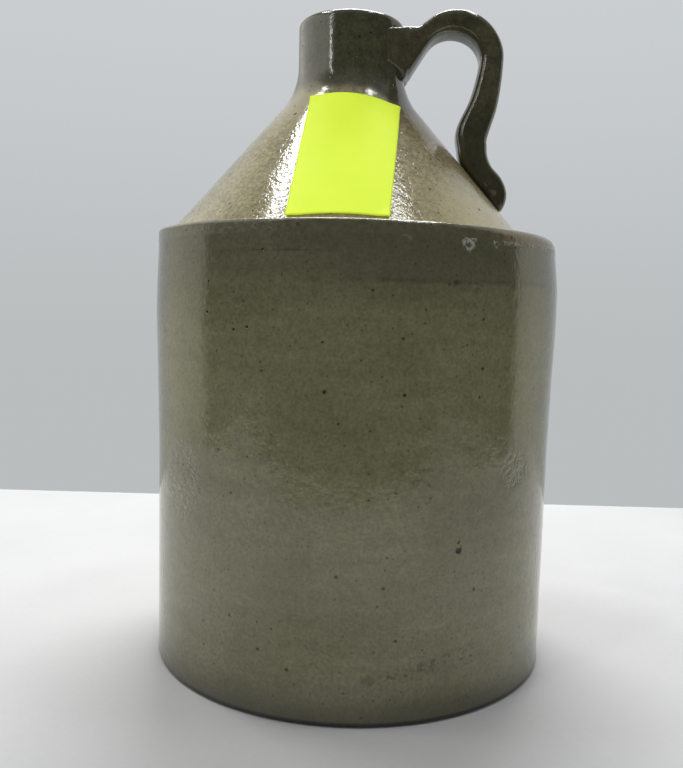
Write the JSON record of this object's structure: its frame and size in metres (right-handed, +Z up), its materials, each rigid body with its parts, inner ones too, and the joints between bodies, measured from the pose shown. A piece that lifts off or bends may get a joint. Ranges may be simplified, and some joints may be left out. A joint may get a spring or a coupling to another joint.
{
  "type": "stoneware jug",
  "caption": "Glazed stoneware shoulder jug: straight cylindrical body, conical top with a short neck and bored mouth, and a strap handle from neck to shoulder.",
  "frame": {"origin": "centre of the body's foot, on the surface that the jug stands on", "axes": "+Z up along the body's axis, +X towards the handle, -Y towards the front with the tag"},
  "size_m": [0.2248, 0.2248, 0.3588],
  "materials": {
    "body_glaze": "gloss",
    "top_glaze": "gloss",
    "handle_glaze": "gloss",
    "slip": "satin",
    "tag_paper": "matte"
  },
  "bodies": {
    "root": {"body": "body_glaze", "shoulder_top": "top_glaze", "shoulder_slip_ring": "slip", "strap_handle": "handle_glaze", "handle_neck_slip": "slip", "handle_cone_slip": "slip", "paper_tag": "tag_paper"}
  },
  "joints": []
}
